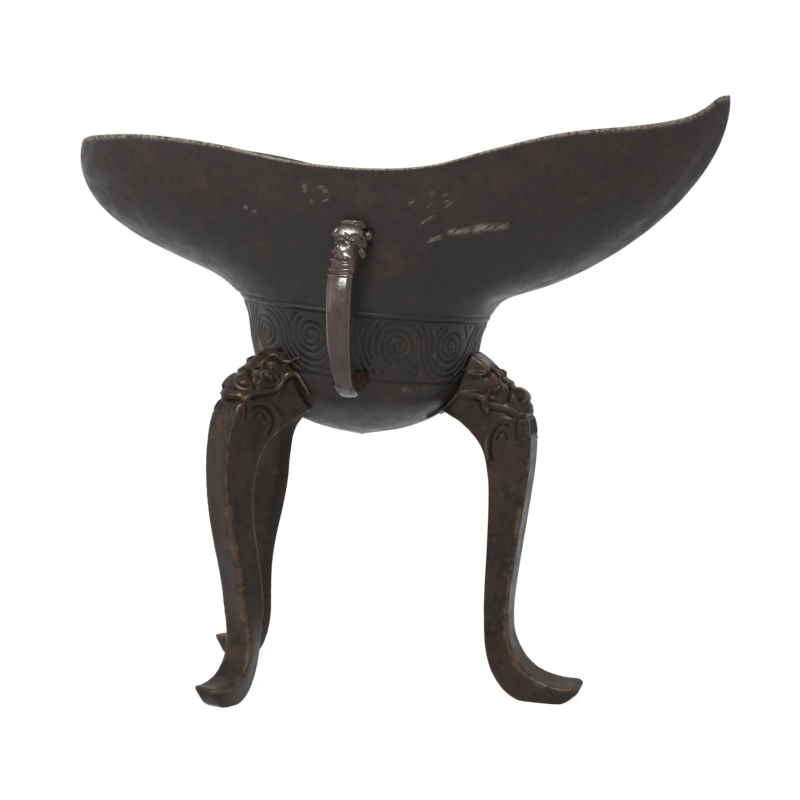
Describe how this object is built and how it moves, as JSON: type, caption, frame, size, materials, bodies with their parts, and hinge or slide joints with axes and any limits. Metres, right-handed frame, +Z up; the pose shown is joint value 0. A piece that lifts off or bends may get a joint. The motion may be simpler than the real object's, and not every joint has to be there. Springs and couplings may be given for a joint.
{
  "type": "jue ritual wine vessel",
  "caption": "Bronze jue wine vessel: slanted oval bowl with rounded spout and upswept pointed tail on cabriole legs with beast masks, scroll band and beast-head loop handle.",
  "frame": {"origin": "on the ground, under the middle of the whole object's box", "axes": "+X towards the tail's tip, -X towards the spout, -Y towards the handle, +Z up"},
  "size_m": [0.1632, 0.088, 0.1512],
  "materials": {
    "dark_bronze": "dark brown-black patinated bronze, satin",
    "handle_bronze": "dark patinated bronze, polished by handling",
    "leg_bronze": "brown patinated bronze, worn on the ridges",
    "braze": "brown patinated braze seam"
  },
  "bodies": {
    "root": {"vessel_body": "dark_bronze", "handle": "handle_bronze", "leg_right": "leg_bronze", "leg_front_left": "leg_bronze", "leg_rear": "leg_bronze", "braze_leg_right": "braze", "braze_leg_front_left": "braze", "braze_leg_rear": "braze", "braze_handle_top": "braze", "braze_handle_bottom": "braze"}
  },
  "joints": []
}
